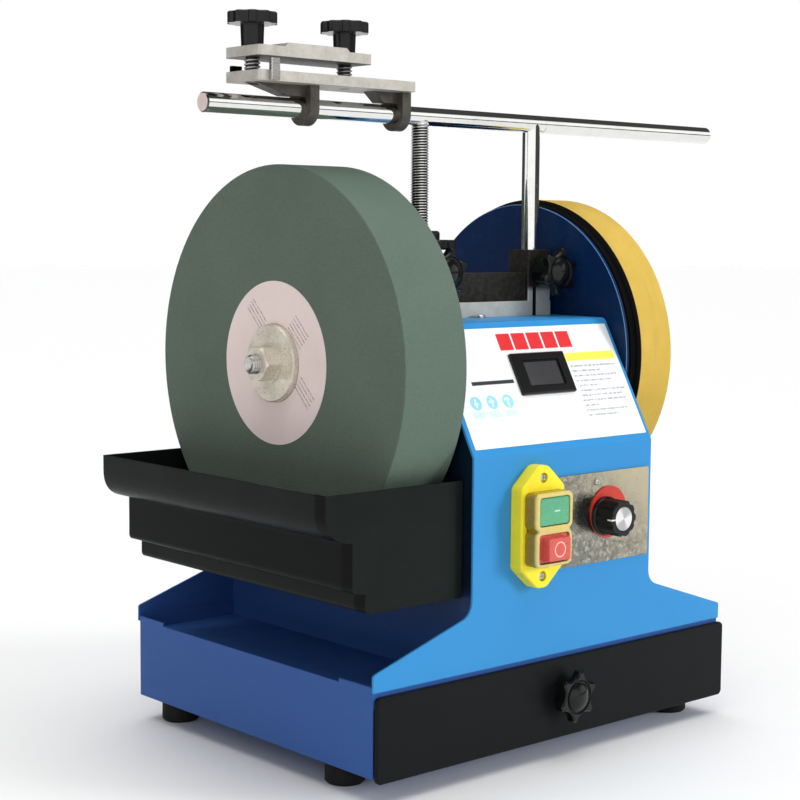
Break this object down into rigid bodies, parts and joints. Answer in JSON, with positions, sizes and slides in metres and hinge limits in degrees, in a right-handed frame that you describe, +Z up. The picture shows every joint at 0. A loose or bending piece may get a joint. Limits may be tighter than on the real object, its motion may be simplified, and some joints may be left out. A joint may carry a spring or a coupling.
{
  "type": "wet grinding sharpener",
  "caption": "Bench wet grinder with a slow stone over a water tray, a leather honing wheel, a height-adjustable tool bar with clamping jig, and a tool drawer in its base.",
  "frame": {"origin": "middle of the machine's bounding box, at bench level", "axes": "+X along the wheel shaft from stone to honing wheel, -Y the operator's side, +Z up"},
  "size_m": [0.4626, 0.294, 0.4644],
  "materials": {
    "blue_paint": "satin powder coat",
    "light_blue_paint": "satin powder coat",
    "navy_paint": "gloss paint",
    "grey_paint": "satin paint",
    "black_paint": "fine textured powder coat",
    "zinc": "bright zinc plate",
    "steel": "turned steel",
    "screw_steel": "zinc plated",
    "jig_steel": "satin nickel",
    "chrome": "polished",
    "cast_alloy": "cast, milled on its front",
    "brushed_plate": "brushed plate",
    "spun_cap": "spun",
    "bush_brass": "oil-darkened bronze",
    "rubber": "matte",
    "drive_rubber": "matte",
    "stone": "fine open grain",
    "paper_label": "matte",
    "print_sheet": "printed film",
    "leather": "suede side out",
    "black_plastic": "moulded",
    "tray_plastic": "satin moulded",
    "knob_plastic": "moulded",
    "gloss_black": "gloss",
    "screen_glass": "dark glass look",
    "yellow_plastic": "gloss",
    "yellow_boot": "soft translucent",
    "green_plastic": "gloss",
    "red_plastic": "gloss",
    "red_dial": "printed",
    "board": "circuit board"
  },
  "bodies": {
    "stand": {"base_shell": "blue_paint", "deck_plate": "blue_paint", "rubber_feet": "rubber", "drawer_runners": "zinc", "front_cover": "light_blue_paint", "rear_cover": "blue_paint", "housing_left": "blue_paint", "housing_right": "blue_paint", "shaft_bearings": "zinc", "cable_gland": "black_plastic", "case_screws": "screw_steel", "motor_case": "grey_paint", "motor_cradle": "zinc", "motor_bolts": "screw_steel", "tray_studs": "steel", "control_sheet": "print_sheet", "display_bezel": "gloss_black", "display_screen": "screen_glass", "switch_plate": "yellow_plastic", "switch_boot": "yellow_boot", "switch_body": "black_plastic", "dial_plate": "brushed_plate", "dial_disc": "red_dial", "potentiometer": "zinc", "control_boards": "board", "support_block": "cast_alloy", "block_bolts": "screw_steel"},
    "wheels": {"wheel_shaft": "steel", "grinding_stone": "stone", "stone_label": "paper_label", "stone_flanges": "zinc", "stone_nut": "zinc", "drive_disc": "navy_paint", "drive_tyre": "drive_rubber", "honing_core": "black_plastic", "honing_leather": "leather", "honing_nut": "zinc"},
    "motor_rotor": {"motor_shaft": "steel"},
    "tray": {"water_tray": "tray_plastic"},
    "drawer": {"drawer_front": "black_paint", "drawer_box": "black_paint", "drawer_knob": "knob_plastic"},
    "start": {"start_button": "green_plastic"},
    "stop": {"stop_button": "red_plastic"},
    "speed_control": {"speed_knob": "knob_plastic", "speed_knob_cap": "spun_cap", "speed_knob_shaft": "steel"},
    "support": {"support_bar": "chrome", "threaded_leg": "chrome", "plain_leg": "chrome"},
    "height_nut": {"adjusting_nut": "knob_plastic"},
    "left_clamp": {"clamp_knob_left": "knob_plastic"},
    "right_clamp": {"clamp_knob_right": "knob_plastic"},
    "jig_slider": {"jig_bushes": "bush_brass"},
    "jig": {"jig_plate": "jig_steel", "jig_fittings": "steel", "jig_springs": "steel"},
    "jaw": {"jig_jaw": "jig_steel"},
    "jaw_knob_left": {"jig_knob_left": "knob_plastic"},
    "jaw_knob_right": {"jig_knob_right": "knob_plastic"}
  },
  "joints": [
    {"name": "wheels_spin", "type": "hinge", "parent": "stand", "child": "wheels", "pos_m": [0, 0.0042, 0.2517], "axis": [1, 0, 0], "continuous": true},
    {"name": "rotor_spin", "type": "hinge", "parent": "stand", "child": "motor_rotor", "pos_m": [0, 0.0042, 0.1409], "axis": [1, 0, 0], "continuous": true},
    {"name": "tray_lift", "type": "slide", "parent": "stand", "child": "tray", "axis": [0, 0, 1], "range_m": [0, 0.008]},
    {"name": "drawer_slide", "type": "slide", "parent": "stand", "child": "drawer", "axis": [0, -1, 0], "range_m": [0, 0.18]},
    {"name": "start_press", "type": "slide", "parent": "stand", "child": "start", "axis": [0, 1, 0], "range_m": [0, 0.003], "stiffness_N_per_m": 700, "springref_m": -0.001},
    {"name": "stop_press", "type": "slide", "parent": "stand", "child": "stop", "axis": [0, 1, 0], "range_m": [0, 0.003], "stiffness_N_per_m": 700, "springref_m": -0.001},
    {"name": "speed_turn", "type": "hinge", "parent": "stand", "child": "speed_control", "pos_m": [0.0128, -0.13, 0.1531], "axis": [0, 1, 0], "range_deg": [-60, 240]},
    {"name": "nut_turn", "type": "hinge", "parent": "stand", "child": "height_nut", "pos_m": [-0.0601, -0.0245, 0.33], "axis": [0, 0, 1], "range_deg": [-10800, 3600]},
    {"name": "support_height", "type": "slide", "parent": "stand", "child": "support", "axis": [0, 0, 1], "range_m": [-0.0175, 0.0525]},
    {"name": "left_clamp_turn", "type": "hinge", "parent": "stand", "child": "left_clamp", "pos_m": [-0.0601, -0.05, 0.3088], "axis": [0, -1, 0], "range_deg": [-20, 360]},
    {"name": "right_clamp_turn", "type": "hinge", "parent": "stand", "child": "right_clamp", "pos_m": [0.043, -0.05, 0.3088], "axis": [0, -1, 0], "range_deg": [-20, 360]},
    {"name": "jig_along_bar", "type": "slide", "parent": "support", "child": "jig_slider", "axis": [1, 0, 0], "range_m": [-0.06, 0.01]},
    {"name": "jig_tilt", "type": "hinge", "parent": "jig_slider", "child": "jig", "pos_m": [-0.12, -0.0245, 0.4097], "axis": [1, 0, 0], "range_deg": [-75, 75]},
    {"name": "jaw_close", "type": "slide", "parent": "jig", "child": "jaw", "axis": [0, 0, -1], "range_m": [0, 0.0045], "deforming": ["jig_springs"]},
    {"name": "jaw_knob_left_turn", "type": "hinge", "parent": "jaw", "child": "jaw_knob_left", "pos_m": [-0.195, -0.0245, 0.45], "axis": [0, 0, -1], "range_deg": [0, 1300]},
    {"name": "jaw_knob_right_turn", "type": "hinge", "parent": "jaw", "child": "jaw_knob_right", "pos_m": [-0.124, -0.0245, 0.45], "axis": [0, 0, -1], "range_deg": [0, 1300]}
  ],
  "couplings": [
    {"joint": "rotor_spin", "follows": "wheels_spin", "ratio": -16},
    {"joint": "nut_turn", "follows": "support_height", "rad_per_m": -3590.4},
    {"joint": "jaw_knob_left_turn", "follows": "jaw_close", "rad_per_m": 5026.5},
    {"joint": "jaw_knob_right_turn", "follows": "jaw_close", "rad_per_m": 5026.5}
  ]
}
